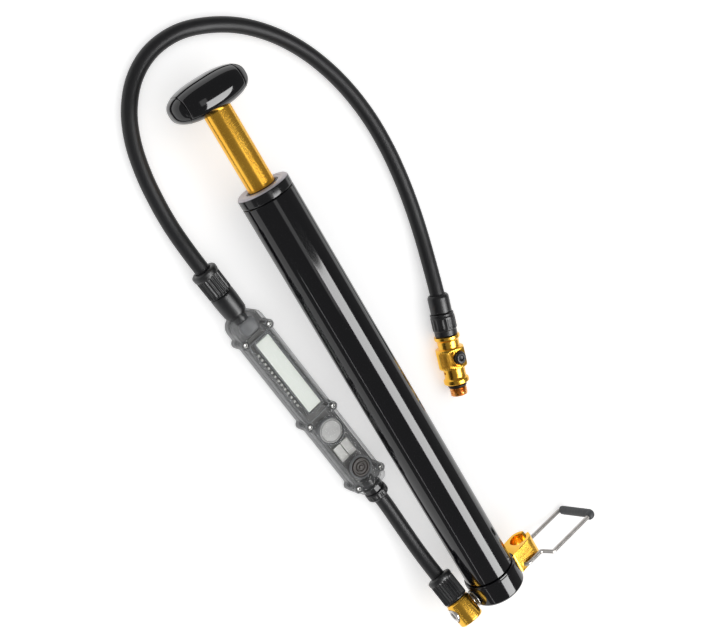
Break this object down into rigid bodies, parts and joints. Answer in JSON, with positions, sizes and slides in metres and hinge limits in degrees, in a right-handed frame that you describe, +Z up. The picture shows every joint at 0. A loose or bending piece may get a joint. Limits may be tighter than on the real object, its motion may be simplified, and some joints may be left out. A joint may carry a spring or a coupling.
{
  "type": "suspension pump",
  "caption": "Hand pump for suspension forks and tyres: long barrel with a T handle, folding foot peg, swivelling hose with an inline digital gauge, and a screw-on chuck.",
  "frame": {"origin": "on the ground, below the middle of the pump without its hose and what is on it", "axes": "+Y along the barrel towards the handle, +Z up from the ground that the pump lies on, +X towards the foot peg"},
  "size_m": [0.1221, 0.3231, 0.038],
  "materials": {
    "gloss_black": "gloss black anodised",
    "collar_grey": "satin grey",
    "satin_black": "satin black",
    "gold": "gold anodised",
    "copper": "copper coloured anodised",
    "steel": "bright",
    "rubber": "matt black",
    "grip_rubber": "matt dark grey",
    "nylon": "natural nylon",
    "smoke": "smoke grey translucent",
    "clear": "clear",
    "board": "circuit board",
    "display": "liquid crystal display"
  },
  "bodies": {
    "pump_body": {"base_cap": "gloss_black", "base_o_ring": "rubber", "valve_seat": "steel", "valve_spring": "steel", "barrel": "gloss_black", "top_collar": "collar_grey", "rod_bush": "nylon", "wiper_seal": "satin_black", "peg_bracket": "gold", "bracket_screw": "steel", "banjo_bolt": "steel", "port_washer": "steel", "port_seal": "rubber"},
    "check_ball": {"valve_ball": "steel"},
    "piston": {"piston_head": "nylon", "piston_seal": "rubber", "piston_bolt": "steel"},
    "handle": {"rod": "gold", "handle_body": "gloss_black", "handle_cap_left": "gloss_black", "handle_cap_right": "gloss_black", "handle_stud": "steel"},
    "foot_peg": {"peg_wire": "steel", "peg_grip": "grip_rubber"},
    "hose_assembly": {"banjo": "gold", "hose_collar": "satin_black", "lower_hose": "rubber", "gauge_nut": "satin_black", "gauge_sleeve": "satin_black", "gauge_case": "smoke", "gauge_cover": "clear", "gauge_board": "board", "gauge_display": "display", "coin_cell": "steel", "cell_ring": "steel", "pressure_sensor": "nylon", "relief_sleeve": "satin_black", "relief_collar": "satin_black", "upper_hose": "rubber", "hose_ferrule": "satin_black", "gauge_screw_1": "steel", "gauge_screw_2": "steel", "gauge_screw_3": "steel", "gauge_screw_4": "steel", "gauge_screw_5": "steel", "gauge_screw_6": "steel"},
    "gauge_key": {"gauge_button": "satin_black"},
    "chuck": {"chuck_nut": "satin_black", "chuck_body": "gold", "chuck_o_ring": "rubber", "chuck_tip": "copper", "tip_seal": "rubber", "bleed_spring": "steel"},
    "bleed_key": {"bleed_button": "satin_black"}
  },
  "joints": [
    {"name": "check_lift", "type": "slide", "parent": "pump_body", "child": "check_ball", "axis": [0, -1, 0], "range_m": [0, 0.0006], "stiffness_N_per_m": 40, "springref_m": -0.0005, "deforming": ["valve_spring"]},
    {"name": "pump_stroke", "type": "slide", "parent": "pump_body", "child": "piston", "axis": [0, 1, 0], "range_m": [-0.0381, 0.141]},
    {"name": "handle_turn", "type": "hinge", "parent": "piston", "child": "handle", "pos_m": [-0.0193, 0, 0.024], "axis": [0, 1, 0], "continuous": true},
    {"name": "peg_fold", "type": "hinge", "parent": "pump_body", "child": "foot_peg", "pos_m": [-0.00307, -0.14133, 0.02102], "axis": [0.1805, 0, 0.9836], "range_deg": [0, 94]},
    {"name": "hose_swivel", "type": "hinge", "parent": "pump_body", "child": "hose_assembly", "pos_m": [-0.0193, -0.13833, 0.024], "axis": [1, 0, 0], "range_deg": [-90, 100]},
    {"name": "gauge_press", "type": "slide", "parent": "hose_assembly", "child": "gauge_key", "axis": [0, 0, -1], "range_m": [0, 0.0008], "stiffness_N_per_m": 600, "springref_m": -0.0006},
    {"name": "chuck_turn", "type": "hinge", "parent": "hose_assembly", "child": "chuck", "pos_m": [0.0375, -0.00453, 0.0075], "axis": [-0.309, -0.9511, 0], "continuous": true},
    {"name": "bleed_press", "type": "slide", "parent": "chuck", "child": "bleed_key", "axis": [-0.1419, 0.0461, -0.9888], "range_m": [0, 0.0012], "stiffness_N_per_m": 500, "springref_m": -0.0008, "deforming": ["bleed_spring"]}
  ]
}
